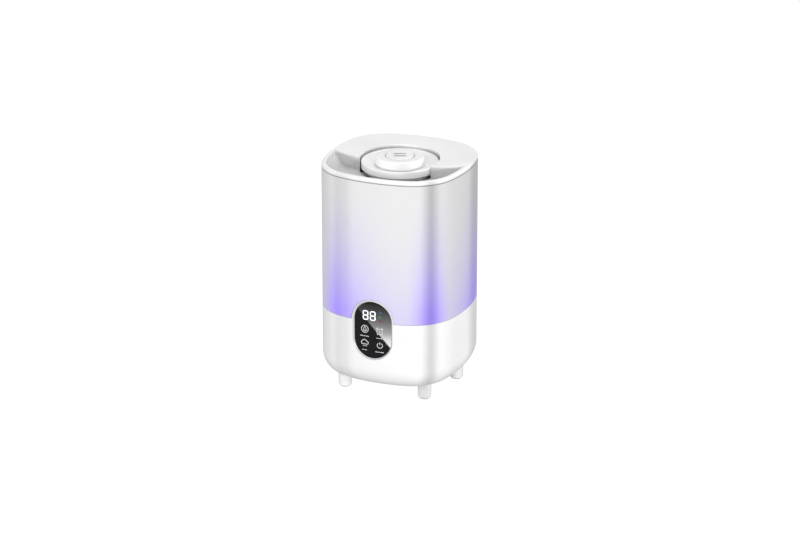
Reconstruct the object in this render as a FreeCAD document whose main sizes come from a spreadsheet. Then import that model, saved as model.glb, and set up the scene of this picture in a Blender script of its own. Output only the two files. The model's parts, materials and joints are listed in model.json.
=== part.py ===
"""A cool mist humidifier: a rounded-square base on four feet, a frosted water tank that lifts off it,
and a lid with a pouring bowl and a round mist nozzle that turns.

Millimetres, +Z up, +Y towards the back. The origin is on the table, under the middle of the base.
Every size is a cell of the sheet Sizes, and the pieces are bound to those cells with expressions.
"""

import FreeCAD, Part
import math
import os
import Sketcher

Vector = FreeCAD.Vector

# alias, value, meaning
SIZES = [
    ("body_half", 85, "half width of the body, flat to flat"),
    ("corner_radius", 55, "radius of the body's corners"),
    ("side_radius", 172, "radius of the body's slightly bulged sides"),
    ("base_bottom", 17, "underside of the base above the table"),
    ("bottom_round", 25, "rounding round the underside of the base"),
    ("housing_wall", 2.6, "wall of the base housing"),
    ("housing_floor", 21, "top of the base housing's floor"),
    ("seam", 100, "top edge of the base"),
    ("groove", 0.7, "chamfer on each side of the line between tank and lid"),
    ("tank_foot", 100.4, "bottom edge of the tank's skirt"),
    ("tank_wall", 2.4, "wall of the tank"),
    ("tank_under", 114, "underside of the tank's floor"),
    ("tank_floor", 117, "top of the tank's floor"),
    ("tank_top", 268.5, "top edge of the tank"),
    ("lid_top", 273, "top of the lid's rim"),
    ("lid_edge_round", 2.6, "rounding of the lid's outer top edge"),
    ("deck_under", 270.3, "underside of the lid's rear deck"),
    ("bowl_floor", 258, "floor of the pouring bowl"),
    ("bowl_rim_inset", 5.2, "from the body's outline to the bowl's upper edge"),
    ("bowl_slope", 12, "width and height of the bowl's sloping wall"),
    ("bowl_round", 9, "rounding between the bowl's wall and floor"),
    ("bowl_lip_round", 5, "rounding at the top of the sloping wall"),
    ("deck_radius", 190, "radius of the deck's front edge"),
    ("deck_centre", 170, "distance of that edge's centre behind the middle"),
    ("mouth_radius", 46.4, "filling mouth in the lid"),
    ("lid_wall", 2.4, "wall of the lid"),
    ("spider_low", 250, "underside of the spokes that carry the nozzle"),
    ("spider_top", 256, "top of the spokes and of the collar"),
    ("collar_radius", 22, "outside of the lid's collar"),
    ("collar_bore", 19.6, "inside of the lid's collar"),
    ("tube_radius", 19.2, "outside of the mist tube"),
    ("tube_bore", 17.2, "inside of the mist tube"),
    ("tube_top", 246, "top of the mist tube"),
    ("duct_bore", 15, "mist duct through the tank's floor and the nozzle"),
    ("duct_radius", 17, "outside of the duct on the tank's floor"),
    ("disc_radius", 44.7, "nozzle disc"),
    ("disc_low", 261.1, "bottom of the nozzle disc's rim"),
    ("disc_high", 269.3, "top of the nozzle disc's rim"),
    ("slot_turn", 22, "angle of the cap's slots, in degrees"),
    ("knob_radius", 28.2, "turning knob of the nozzle"),
    ("knob_low", 265.2, "bottom of the knob"),
    ("knob_high", 275.2, "top of the knob"),
    ("cap_radius", 16, "slotted cap in the knob"),
    ("cap_high", 276.2, "top of the cap"),
    ("pill_low", 77.9, "centre of the panel's lower round end"),
    ("pill_high", 101, "centre of the panel's upper round end"),
    ("glass_radius", 22.9, "half width of the panel's glass"),
    ("bezel_radius", 24.6, "half width of the bezel round the glass"),
    ("tongue_radius", 25.6, "half width of the housing's tongue that carries the panel"),
    ("tongue_back", 68, "depth of the tongue's rear face in front of the middle"),
    ("glass_depth", 1.7, "from the body's outline to the glass"),
    ("glass_back", 3.6, "from the body's outline to the back of the glass"),
    ("foot_x_front", 50, "front feet, from the middle"),
    ("foot_y_front", -47, "front feet, from the middle"),
    ("foot_x_rear", 62, "rear feet, from the middle"),
    ("foot_y_rear", 24, "rear feet, from the middle"),
    ("foot_radius", 8.1, "top of a foot"),
    ("cover_half", 44, "half width of the bottom cover"),
    ("cover_screw", 33, "cover screws, from the middle"),
    ("tray_flange_low", 95, "underside of the tray's flange"),
    ("tray_flange_top", 97.5, "top of the tray's flange"),
    ("tray_top", 111, "deck of the tray"),
    ("basin_low", 66, "underside of the basin"),
    ("basin_floor", 68.5, "floor of the basin"),
    ("basin_inset", 28, "from the body's outline to the basin"),
    ("float_y", 40, "float and valve, behind the middle"),
    ("float_low", 76, "bottom of the float at rest"),
    ("post_top", 101.5, "top of the post that opens the valve"),
    ("fan_x", -8, "middle of the fan"),
    ("fan_half", 25, "half width of the fan"),
    ("fan_low", 24, "underside of the fan"),
    ("fan_high", 39, "top of the fan"),
    ("jack_z", 50, "height of the power socket"),
    ("board_y", 54, "front face of the main board"),
]

doc = FreeCAD.newDocument("humidifier")
sheet = doc.addObject("Spreadsheet::Sheet", "Sizes")
for row, (alias, value, meaning) in enumerate(SIZES, start=1):
    sheet.set(f"A{row}", meaning)
    sheet.set(f"B{row}", str(value))
    sheet.setAlias(f"B{row}", alias)
doc.recompute()

nodes = []


# ---- small helpers: every size is a number or an expression over the sheet, such as "seam + 2" ----


def bound(size):
    """The size as an expression of the sheet's cells: each alias gets the sheet's name in front."""
    words = str(size).split()
    known = {alias for alias, _, _ in SIZES}
    signed = [w[1:] if w[0] == "-" and w[1:] in known else w for w in words]
    marks = ["-" if w[0] == "-" and w[1:] in known else "" for w in words]
    return " ".join(m + ("Sizes." + w if w in known else w) for m, w in zip(marks, signed))


def number(size):
    return float(sheet.evalExpression(bound(size)))


def bind(piece, **properties):
    for name, size in properties.items():
        piece.setExpression(name, bound(size))


def place(piece, x=0, y=0, z=0):
    """Moves a piece to x, y, z, which may be expressions."""
    for axis, size in zip("xyz", (x, y, z)):
        piece.setExpression(f"Placement.Base.{axis}", bound(size))
    return piece


def sketch_in(body, plane, offset):
    """A sketch on one of the body's own planes, moved along the plane's normal by offset."""
    sketch = body.newObject("Sketcher::SketchObject", body.Name + "_sketch")
    origin = body.Origin.OriginFeatures
    sketch.AttachmentSupport = [(next(f for f in origin if f.Role == plane), "")]
    sketch.MapMode = "FlatFace"
    sketch.setExpression("AttachmentOffset.Base.z", bound(offset))
    return sketch


def dimension(sketch, kind, *where, size):
    """A driving dimension of a sketch, bound to the sheet."""
    index = sketch.addConstraint(Sketcher.Constraint(kind, *where, number(size)))
    sketch.setExpression(f"Constraints[{index}]", bound(size))


def draw_outline(sketch, inset):
    """The body's outline drawn in by inset: four bulged sides and four corners, all tangent."""
    big, small = number("side_radius"), number("corner_radius")
    reach = big - number("body_half")
    centre = (math.sqrt(2 * (big - small) ** 2 - reach**2) - reach) / 2
    turn = math.atan2(centre, centre + reach)
    cut = number(inset)
    for quarter in range(4):
        start = quarter * math.pi / 2
        side = Vector(-reach * math.cos(start), -reach * math.sin(start), 0)
        corner = math.sqrt(2) * centre
        corner = Vector(corner * math.cos(start + math.pi / 4), corner * math.sin(start + math.pi / 4), 0)
        for middle, radius, low, high in (
            (side, big - cut, -turn, turn),
            (corner, small - cut, turn, math.pi / 2 - turn),
        ):
            circle = Part.Circle(middle, Vector(0, 0, 1), radius)
            sketch.addGeometry(Part.ArcOfCircle(circle, start + low, start + high), False)
    for edge in range(8):
        sketch.addConstraint(Sketcher.Constraint("Tangent", edge, 2, (edge + 1) % 8, 1))
    for edge in (2, 4, 6):
        sketch.addConstraint(Sketcher.Constraint("Equal", 0, edge))
        sketch.addConstraint(Sketcher.Constraint("Equal", 1, edge + 1))
    dimension(sketch, "Radius", 0, size=f"side_radius - ( {inset} )")
    dimension(sketch, "Radius", 1, size=f"corner_radius - ( {inset} )")
    for edge, axis in ((0, -1), (2, -2), (4, -1), (6, -2)):
        sketch.addConstraint(Sketcher.Constraint("PointOnObject", edge, 3, axis))
    dimension(sketch, "DistanceX", 0, 3, -1, 1, size="side_radius - body_half")
    dimension(sketch, "DistanceX", -1, 1, 4, 3, size="side_radius - body_half")
    dimension(sketch, "DistanceY", 2, 3, -1, 1, size="side_radius - body_half")
    dimension(sketch, "DistanceY", -1, 1, 6, 3, size="side_radius - body_half")


def pad(body, sketch, length):
    feature = body.newObject("PartDesign::Pad", body.Name + "_pad")
    feature.Profile = sketch
    bind(feature, Length=length)
    doc.recompute()
    return feature


def edges_at(shape, height, tolerance=0.01):
    """The names of the edges that lie flat at a height."""
    found = []
    for index, edge in enumerate(shape.Edges, start=1):
        box = edge.BoundBox
        if abs(box.ZMin - height) < tolerance and abs(box.ZMax - height) < tolerance:
            found.append(f"Edge{index}")
    return found


def round_at(body, height, radius, kind="Fillet"):
    """Rounds, or chamfers, every edge of the body's last feature that lies at a height."""
    last = body.Tip
    feature = body.newObject("PartDesign::" + kind, f"{body.Name}_{kind.lower()}")
    feature.Base = (last, edges_at(last.Shape, number(height)))
    bind(feature, **{"Radius" if kind == "Fillet" else "Size": radius})
    doc.recompute()
    return body


def prism(name, inset, low, high):
    """A block with the body's outline drawn in by inset, from low to high."""
    body = doc.addObject("PartDesign::Body", name)
    sketch = sketch_in(body, "XY_Plane", low)
    draw_outline(sketch, inset)
    pad(body, sketch, f"{high} - ( {low} )")
    return body


def pill(name, radius, near, far):
    """An upright pill in the panel's place, from near to far in front of the middle plane."""
    body = doc.addObject("PartDesign::Body", name)
    sketch = sketch_in(body, "XZ_Plane", near)
    half, low, high = number(radius), number("pill_low"), number("pill_high")
    up, side = Vector(0, 0, 1), half
    sketch.addGeometry(
        [
            Part.ArcOfCircle(Part.Circle(Vector(0, high, 0), up, half), 0, math.pi),
            Part.LineSegment(Vector(-side, high, 0), Vector(-side, low, 0)),
            Part.ArcOfCircle(Part.Circle(Vector(0, low, 0), up, half), math.pi, 2 * math.pi),
            Part.LineSegment(Vector(side, low, 0), Vector(side, high, 0)),
        ],
        False,
    )
    for first, second in ((0, 1), (1, 2), (2, 3), (3, 0)):
        sketch.addConstraint(Sketcher.Constraint("Tangent", first, 2, second, 1))
    sketch.addConstraint(Sketcher.Constraint("PointOnObject", 0, 3, -2))
    sketch.addConstraint(Sketcher.Constraint("PointOnObject", 2, 3, -2))
    dimension(sketch, "Radius", 0, size=radius)
    dimension(sketch, "DistanceY", -1, 1, 0, 3, size="pill_high")
    dimension(sketch, "DistanceY", -1, 1, 2, 3, size="pill_low")
    pad(body, sketch, f"{far} - ( {near} )")
    return body


def turned(name, profile, x=0, y=0):
    """A turned piece: profile lists the corners of its section as (radius, height)."""
    body = doc.addObject("PartDesign::Body", name)
    sketch = sketch_in(body, "XZ_Plane", 0)
    corners = [Vector(number(r), number(z), 0) for r, z in profile]
    count = len(corners)
    for index in range(count):
        sketch.addGeometry(Part.LineSegment(corners[index], corners[(index + 1) % count]), False)
    for index in range(count):
        sketch.addConstraint(Sketcher.Constraint("Coincident", index, 2, (index + 1) % count, 1))
    for index, (r, z) in enumerate(profile):
        if number(r) == 0:
            sketch.addConstraint(Sketcher.Constraint("PointOnObject", index, 1, -2))
        else:
            dimension(sketch, "DistanceX", -1, 1, index, 1, size=r)
        if number(z) == 0:
            sketch.addConstraint(Sketcher.Constraint("PointOnObject", index, 1, -1))
        else:
            dimension(sketch, "DistanceY", -1, 1, index, 1, size=z)
    feature = body.newObject("PartDesign::Revolution", name + "_turn")
    feature.Profile = sketch
    feature.ReferenceAxis = (sketch, ["V_Axis"])
    feature.Angle = 360
    place(body, x, y)
    doc.recompute()
    return body


def cylinder(name, radius, low, high, x=0, y=0):
    piece = doc.addObject("Part::Cylinder", name)
    bind(piece, Radius=radius, Height=f"{high} - ( {low} )")
    return place(piece, x, y, low)


def lying(name, radius, near, far, x, z):
    """A cylinder along Y, from y = near to y = far."""
    piece = doc.addObject("Part::Cylinder", name)
    piece.Placement.Rotation = FreeCAD.Rotation(Vector(1, 0, 0), -90)
    bind(piece, Radius=radius, Height=f"{far} - ( {near} )")
    return place(piece, x, near, z)


def box(name, x, y, z):
    """A box between two sizes in each direction."""
    piece = doc.addObject("Part::Box", name)
    spans = {k: f"{high} - ( {low} )" for k, (low, high) in zip(("Length", "Width", "Height"), (x, y, z))}
    bind(piece, **spans)
    return place(piece, x[0], y[0], z[0])


def cut(name, base, *tools):
    piece = doc.addObject("Part::Cut", name)
    piece.Base = base
    piece.Tool = tools[0] if len(tools) == 1 else fuse(name + "_tools", *tools)
    return piece


def fuse(name, *pieces):
    piece = doc.addObject("Part::MultiFuse", name)
    piece.Shapes = list(pieces)
    return piece


def common(name, first, second):
    piece = doc.addObject("Part::Common", name)
    piece.Base = first
    piece.Tool = second
    return piece


def group(name, pieces):
    piece = doc.addObject("Part::Compound", name)
    piece.Links = list(pieces)
    return piece


def rounded(name, base, radius, chosen):
    """Rounds the edges of base for which chosen(edge) is true."""
    doc.recompute()
    piece = doc.addObject("Part::Fillet", name)
    piece.Base = base
    picked = [i for i, edge in enumerate(base.Shape.Edges, start=1) if chosen(edge)]
    piece.Edges = [(i, number(radius), number(radius)) for i in picked]
    return piece


def upright(edge):
    box_of = edge.BoundBox
    return box_of.XLength < 0.01 and box_of.YLength < 0.01


def along_y(edge):
    box_of = edge.BoundBox
    return box_of.XLength < 0.01 and box_of.ZLength < 0.01


def node(label, piece):
    """Keeps the piece as a sub-part under its label."""
    piece.Label = label
    nodes.append(piece)
    return piece


FOOT_PLACES = {
    "front_left": ("-foot_x_front", "foot_y_front"),
    "front_right": ("foot_x_front", "foot_y_front"),
    "rear_left": ("-foot_x_rear", "foot_y_rear"),
    "rear_right": ("foot_x_rear", "foot_y_rear"),
}
COVER_CORNERS = [(sx + "cover_screw", sy + "cover_screw") for sx in ("", "-") for sy in ("", "-")]
TONGUE_TOP = "pill_high + tongue_radius"


# ---- base ----


def make_housing():
    """The base's outer shell: a bowl with a tongue in front that rises past the seam and holds the panel."""
    stock = prism("housing_stock", 0, "base_bottom", f"{TONGUE_TOP} + 5")
    round_at(stock, "base_bottom", "bottom_round")
    wide = ("-body_half - 5", "body_half + 5")
    above = box("above_seam", wide, wide, ("seam", f"{TONGUE_TOP} + 6"))
    above = cut("above_seam_cut", above, pill("tongue", "tongue_radius", "tongue_back", 95))
    hollow = prism("housing_hollow", "housing_wall", "housing_floor", f"{TONGUE_TOP} + 6")
    round_at(hollow, "housing_floor", "bottom_round - housing_wall")
    hollow = cut("housing_hollow_cut", hollow, pill("tongue_block", "tongue_radius", "tongue_back", 95))
    behind_glass = prism("behind_glass", "glass_back + 0.1", 40, f"{TONGUE_TOP} + 6")
    pocket = cut("bezel_pocket", pill("bezel_space", "bezel_radius + 0.1", 60, 95), behind_glass)
    window = pill("panel_window", 20.5, 60, 95)
    behind_front = prism("behind_front", 6.6, 40, f"{TONGUE_TOP} + 6")
    room = common("display_room", pill("room_space", "tongue_radius - 2.2", 60, 95), behind_front)
    open_half = "cover_half - 4"
    opening = box(
        "floor_opening",
        (f"-( {open_half} )", open_half),
        (f"-( {open_half} )", open_half),
        ("base_bottom - 1", "housing_floor + 2"),
    )
    opening = rounded("floor_opening_round", opening, 8, upright)
    recess = box(
        "cover_recess",
        ("-cover_half - 0.3", "cover_half + 0.3"),
        ("-cover_half - 0.3", "cover_half + 0.3"),
        ("base_bottom - 1", "base_bottom + 2.5"),
    )
    recess = rounded("cover_recess_round", recess, 16.3, upright)
    socket = box("socket_hole", (-7.1, 7.1), (70, 95), ("jack_z - 7.1", "jack_z + 7.1"))
    socket = rounded("socket_hole_round", socket, 1.1, along_y)
    shell = cut("housing_shell", stock, above, hollow, pocket, window, room, opening, recess, socket)
    extras = []
    for where, (x, y) in FOOT_PLACES.items():
        extras.append(cylinder("foot_seat_" + where, "foot_radius", "base_bottom", "base_bottom + 4.5", x, y))
        extras.append(cylinder("screw_seat_" + where, 5.5, "base_bottom + 2", "housing_floor + 3", x, y))
    for index, side in enumerate((-1, 1)):
        for along in (-20, 20):
            low, high = sorted((78 * side, 82.9 * side))
            rib = f"rib_{index}_{along + 20}"
            extras.append(
                box(rib + "_x", (low, high), (along - 1.2, along + 1.2), (60, "tray_flange_low"))
            )
        extras.append(
            box(f"rib_rear_{index}", (24 * side - 1.2, 24 * side + 1.2), (78, 82.6), (60, "tray_flange_low"))
        )
    shell = fuse("housing_full", shell, *extras)
    holes = [
        cylinder("foot_hole_" + where, 1.9, "base_bottom - 2", "housing_floor + 5", x, y)
        for where, (x, y) in FOOT_PLACES.items()
    ]
    node("base_housing", cut("base_housing", shell, *holes))


def make_cover():
    """The bottom cover with its air intake slots, and the four screws that also hold the tray."""
    span = ("-cover_half", "cover_half")
    plate = box("cover_plate", span, span, ("base_bottom", "base_bottom + 2.3"))
    plate = rounded("cover_plate_round", plate, 16, upright)
    slots = []
    for index in range(9):
        across = (index - 4) * 5
        half = 20 - abs(index - 4) * 1.5
        slot = box(
            f"intake_slot_{index}",
            (f"fan_x - {half}", f"fan_x + {half}"),
            (across - 1.3, across + 1.3),
            ("base_bottom - 1", "base_bottom + 4"),
        )
        slots.append(rounded(f"intake_slot_round_{index}", slot, 1.25, upright))
    holes = [
        cylinder(f"cover_hole_{i}", 2.1, "base_bottom - 1", "base_bottom + 4", x, y)
        for i, (x, y) in enumerate(COVER_CORNERS)
    ]
    node("bottom_cover", cut("bottom_cover", plate, *slots, *holes))
    node(
        "cover_screws",
        group(
            "cover_screws",
            [
                pan_screw(f"cover_screw_{i}", 3.8, 1.85, "base_bottom", -2.1, 18, x, y)
                for i, (x, y) in enumerate(COVER_CORNERS)
            ],
        ),
    )


def pan_screw(name, head, shank, seat, thick, length, x=0, y=0):
    """A pan head screw on the plane seat: a head that is thick high above it and a shank of length
    below it. With a negative thick it points up, with its head under the seat."""
    way = 1 if thick > 0 else -1
    top, end = f"{seat} + {thick}", f"{seat} - {way * length}"
    shoulder = f"{seat} + {thick * 0.4}"
    profile = [
        (0, end),
        (shank, f"{end} + {way * shank * 0.8}"),
        (shank, seat),
        (head, seat),
        (head, shoulder),
        (head * 0.72, top),
        (head * 0.3, top),
        (0, f"{seat} + {thick * 0.5}"),
    ]
    return turned(name, profile, x, y)


def make_feet():
    """Four turned feet, each with a rubber pad below and a screw from inside the housing."""
    for where, (x, y) in FOOT_PLACES.items():
        foot = turned(
            "foot_" + where,
            [
                (0, 2.5),
                (6.3, 2.5),
                (6.3, 1),
                (6.8, 1),
                (7.5, 1.7),
                ("foot_radius", "base_bottom"),
                (1.7, "base_bottom"),
                (1.7, 5),
                (0, 5),
            ],
            x,
            y,
        )
        node("foot_" + where, foot)
        pad_profile = [(0, 0), (5.7, 0), (6.2, 0.5), (6.2, 2.5), (0, 2.5)]
        node("foot_pad_" + where, turned("foot_pad_" + where, pad_profile, x, y))
    node(
        "foot_screws",
        group(
            "foot_screws",
            [
                pan_screw("foot_screw_" + where, 3.4, 1.6, "housing_floor + 3", 2, 18, x, y)
                for where, (x, y) in FOOT_PLACES.items()
            ],
        ),
    )


def make_tray():
    """The tray in the top of the base: a flange, a deck, and the basin where the mist is made, with the
    chimney that lets the air in."""
    flange = prism("tray_flange", 3, "tray_flange_low", "tray_flange_top")
    wall = prism("tray_wall", 9, "tray_flange_low", "tray_top")
    basin = prism("tray_basin", "basin_inset - 2.5", "basin_low", "tray_top - 1")
    solid = fuse("tray_solid", flange, wall, basin)
    under = prism("under_deck", 11.5, 90, "tray_top - 2.5")
    keep = prism("basin_keep", "basin_inset - 2.5", 60, "tray_top + 5")
    notch_keep = box("notch_keep", (-33.5, 33.5), (-90, -61), (80, "tray_top + 5"))
    under = cut("under_deck_cut", under, keep, notch_keep)
    water = prism("basin_water", "basin_inset", "basin_floor", "tray_top + 1")
    round_at(water, "basin_floor", 5)
    notch = box("niche_notch", (-31, 31), (-90, -63.5), ("tray_flange_top", "tray_top + 1"))
    passage = box("tongue_notch", (-27.3, 27.3), (-90, "-tongue_back + 0.8"), (90, "tray_top + 1"))
    solid = cut("tray_cut", solid, under, water, notch, passage)
    y = "float_y"
    extras = [
        cylinder("transducer_boss", 18.5, 62.4, "basin_low + 0.5"),
        cylinder("valve_post", 2.7, "basin_floor - 1", "post_top", 0, y),
        cylinder("float_stand", 5, "basin_floor - 1", "float_low", 0, y),
    ]
    for index, (cx, cy) in enumerate(COVER_CORNERS):
        extras.append(cylinder(f"tray_column_{index}", 5, "base_bottom + 2.3", "basin_low + 1", cx, cy))
    for index, side in enumerate((-1, 1)):
        post_x = (38 * side - 3, 38 * side + 3)
        extras.append(box(f"board_post_{index}", post_x, (48, "board_y"), (28, "basin_low + 1")))
    solid = fuse("tray_full", solid, *extras)
    cuts = [
        cylinder("transducer_hole", 10.2, 60, "basin_floor + 1"),
        cylinder("seal_seat", 13, 60, "basin_low"),
        box("chimney_hole", (37.95, 52.05), (-14.05, 14.05), (60, "basin_floor + 1")),
    ]
    for index, (cx, cy) in enumerate(COVER_CORNERS):
        cuts.append(cylinder(f"column_hole_{index}", 2, 15, 40, cx, cy))
    for index, side in enumerate((-1, 1)):
        cuts.append(lying(f"post_hole_{index}", 1.3, "board_y - 6", "board_y + 1", 38 * side, 50))
    for index in range(3):
        turn = math.radians(90 + 120 * index)
        cx, cy = 15.7 * math.cos(turn), 15.7 * math.sin(turn)
        cuts.append(cylinder(f"clamp_boss_hole_{index}", 1.2, 60, 65.6, cx, cy))
    node("water_tray", cut("water_tray", solid, *cuts))
    tube = box("chimney_tube", (38, 52), (-14, 14), ("basin_low", 105))
    rim = box("chimney_rim", (36, 50.5), (-16, 16), ("basin_floor", "basin_floor + 1.5"))
    way = box("chimney_way", (40, 50), (-12, 12), (60, 106))
    node("air_chimney", cut("air_chimney", fuse("chimney_solid", tube, rim), way))


def make_transducer():
    """The ceramic disc under the basin, its rubber seal, the metal ring that clamps them and its screws."""
    node("transducer_disc", cylinder("transducer_disc", 9.8, 64.05, 65.35))
    seal = [
        (8.5, "basin_low"),
        (12.8, "basin_low"),
        (12.8, 62.4),
        (8.5, 62.4),
        (8.5, 64),
        (9.85, 64),
        (9.85, 65.4),
        (8.5, 65.4),
    ]
    node("transducer_seal", turned("transducer_seal", seal))
    turns = [math.radians(90 + 120 * i) for i in range(3)]
    places = [(15.7 * math.cos(t), 15.7 * math.sin(t)) for t in turns]
    ring = turned("clamp_ring_blank", [(7, 60.4), (18.3, 60.4), (18.3, 62.4), (7, 62.4)])
    holes = [cylinder(f"clamp_hole_{i}", 1.3, 59, 64, x, y) for i, (x, y) in enumerate(places)]
    node("transducer_clamp", cut("transducer_clamp", ring, *holes))
    screws = [
        pan_screw(f"clamp_screw_{i}", 2.2, 1.1, 60.4, -1.3, 5, x, y) for i, (x, y) in enumerate(places)
    ]
    node("clamp_screws", group("clamp_screws", screws))


def make_float():
    """The ring float on the post, with its magnet and the soft ring that closes the valve."""
    x, y, low = 0, "float_y", "float_low"
    profile = [
        (3.2, low),
        (4, low),
        (4, f"{low} + 4"),
        (7.2, f"{low} + 4"),
        (7.2, low),
        (11, low),
        (12, f"{low} + 1"),
        (12, f"{low} + 17"),
        (11, f"{low} + 18"),
        (3.2, f"{low} + 18"),
    ]
    node("float_body", turned("float_body", profile, x, y))
    magnet = [(4.1, f"{low} + 0.2"), (7.1, f"{low} + 0.2"), (7.1, f"{low} + 4"), (4.1, f"{low} + 4")]
    node("float_magnet", turned("float_magnet", magnet, x, y))
    soft = [(3.2, f"{low} + 18"), (9, f"{low} + 18"), (8.4, f"{low} + 20"), (3.2, f"{low} + 20")]
    node("float_seal", turned("float_seal", soft, x, y))


def make_light():
    """The ring of lamps under the tank's skirt: a board, its chips in the corners, and a diffuser."""
    gap = box("ring_gap", (-31.6, 31.6), (-95, -60), (90, "tray_top + 5"))
    outer = prism("led_board_outer", 3.4, "tray_flange_top", "tray_flange_top + 1.6")
    inner = prism("led_board_inner", 8.8, "tray_flange_top - 1", "tray_flange_top + 3")
    node("led_board", cut("led_board", outer, inner, gap))
    outer = prism("light_ring_outer", 3.6, "tray_flange_top + 1.6", "seam + 8.4")
    inner = prism("light_ring_inner", 6.2, "seam - 4", "seam + 10")
    over_chips = prism("over_chips", 4.4, "seam - 4", "seam + 0.4")
    node("light_ring", cut("light_ring", outer, inner, over_chips, gap))
    chips = []
    for corner in range(4):
        for index, turn in enumerate((22, 45, 68)):
            angle = math.radians(turn)
            x, y = 26.87 + 48.4 * math.cos(angle), 26.87 + 48.4 * math.sin(angle)
            start = math.radians(90 * corner)
            chip = box(
                f"chip_{corner}_{index}",
                (x * math.cos(start) - y * math.sin(start) - 1.4, x * math.cos(start) - y * math.sin(start) + 1.4),
                (x * math.sin(start) + y * math.cos(start) - 1.4, x * math.sin(start) + y * math.cos(start) + 1.4),
                ("tray_flange_top + 1.6", "seam + 0.2"),
            )
            chips.append(chip)
    node("led_chips", group("led_chips", chips))


def make_fan():
    """A small blower over the intake slots, and the duct from it to the basin's air chimney."""
    x, low, high = "fan_x", "fan_low", "fan_high"
    case = box("fan_block", (f"{x} - fan_half", f"{x} + fan_half"), ("-fan_half", "fan_half"), (low, high))
    case = rounded("fan_block_round", case, 6, upright)
    room = cylinder("fan_room", 22, f"{low} + 1.5", f"{high} - 1.5", x, 0)
    inlet = cylinder("fan_inlet", 15, f"{low} - 1", f"{low} + 3", x, 0)
    exit_room = box(
        "fan_exit", (x, f"{x} + fan_half + 1"), (-11, 11), (f"{low} + 1.5", f"{high} - 1.5")
    )
    axle = cylinder("fan_axle", 1.2, f"{low} + 6", f"{high} - 1", x, 0)
    hollow = cut("fan_hollow", case, room, inlet, exit_room)
    node("fan_case", fuse("fan_case", hollow, axle))
    hub = turned(
        "impeller_hub",
        [
            (1.26, f"{low} + 4"),
            (9, f"{low} + 4"),
            (9, f"{low} + 10.4"),
            (20, f"{low} + 10.4"),
            (20, f"{low} + 11.6"),
            (1.26, f"{low} + 11.6"),
        ],
        x,
        0,
    )
    blades = []
    for index in range(15):
        blade = doc.addObject("Part::Box", f"fan_blade_{index}")
        blade.Length, blade.Width, blade.Height = 5, 0.9, 7.2
        angle = 24 * index
        turn = FreeCAD.Rotation(Vector(0, 0, 1), angle)
        start = turn.multVec(Vector(14.5, 0, 0))
        blade.Placement = FreeCAD.Placement(
            Vector(start.x + number(x), start.y, number(low) + 3.4),
            FreeCAD.Rotation(Vector(0, 0, 1), angle + 32),
        )
        blades.append(blade)
    node("fan_impeller", fuse("fan_impeller", hub, *blades))
    start = f"{x} + fan_half"
    outer = fuse(
        "duct_outer",
        box("duct_run", (start, 52), (-13, 13), (low, high)),
        box("duct_rise", (38, 52), (-13, 13), (low, "basin_low")),
    )
    inner = fuse(
        "duct_inner",
        box("duct_run_way", (f"{start} - 1", 50), (-11, 11), (f"{low} + 1.5", f"{high} - 1.5")),
        box("duct_rise_way", (40, 50), (-11, 11), (f"{low} + 1.5", "basin_low + 1")),
    )
    node("air_duct", cut("air_duct", outer, inner))


def make_electrics():
    """The main board with its parts, and the power socket in the rear wall."""
    board = box("board_blank", (-45, 45), ("board_y", "board_y + 1.6"), (27, 61))
    holes = [
        lying(f"board_hole_{i}", 1.5, "board_y - 1", "board_y + 3", s * 38, 50)
        for i, s in enumerate((-1, 1))
    ]
    node("main_board", cut("main_board", board, *holes))
    screws = []
    for index, side in enumerate((-1, 1)):
        shank = lying(f"board_shank_{index}", 1.2, "board_y - 5", "board_y + 1.6", 38 * side, 50)
        head = lying(f"board_head_{index}", 2.4, "board_y + 1.6", "board_y + 3.2", 38 * side, 50)
        screws.append(fuse(f"board_screw_{index}", shank, head))
    node("board_screws", group("board_screws", screws))
    face = "board_y + 1.6"
    parts = [
        lying("capacitor_large", 5, face, f"{face} + 12", -24, 36),
        lying("capacitor_small", 3.2, face, f"{face} + 8", -13, 34),
        lying("coil", 4.5, face, f"{face} + 6", 24, 35),
        box("connector_fan", (-36, -29), (face, f"{face} + 6"), (52, 58)),
        box("connector_disc", (-8, -1), (face, f"{face} + 6"), (52, 58)),
        box("connector_panel", (27, 35), (face, f"{face} + 5"), (54, 59)),
        box("chip_main", (3, 12), (face, f"{face} + 1.6"), (30, 39)),
    ]
    node("board_parts", group("board_parts", parts))
    sink = box("sink_base", (2, 22), (face, f"{face} + 2"), (43, 59))
    fins = [
        box(f"sink_fin_{i}", (2 + 3.72 * i, 3.4 + 3.72 * i), (f"{face} + 1", f"{face} + 9"), (43, 59))
        for i in range(6)
    ]
    node("heat_sink", fuse("heat_sink", sink, *fins))
    block = box("jack_block", (-7, 7), (68, 84.4), ("jack_z - 7", "jack_z + 7"))
    block = rounded("jack_block_round", block, 1, along_y)
    mouth = lying("jack_mouth", 3.1, 78.4, 90, 0, "jack_z")
    deep = lying("jack_deep", 2.9, 71, 79, 0, "jack_z")
    node("power_socket", cut("power_socket", block, mouth, deep))
    node("socket_pin", lying("socket_pin", 1, 71, 78, 0, "jack_z"))


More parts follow.
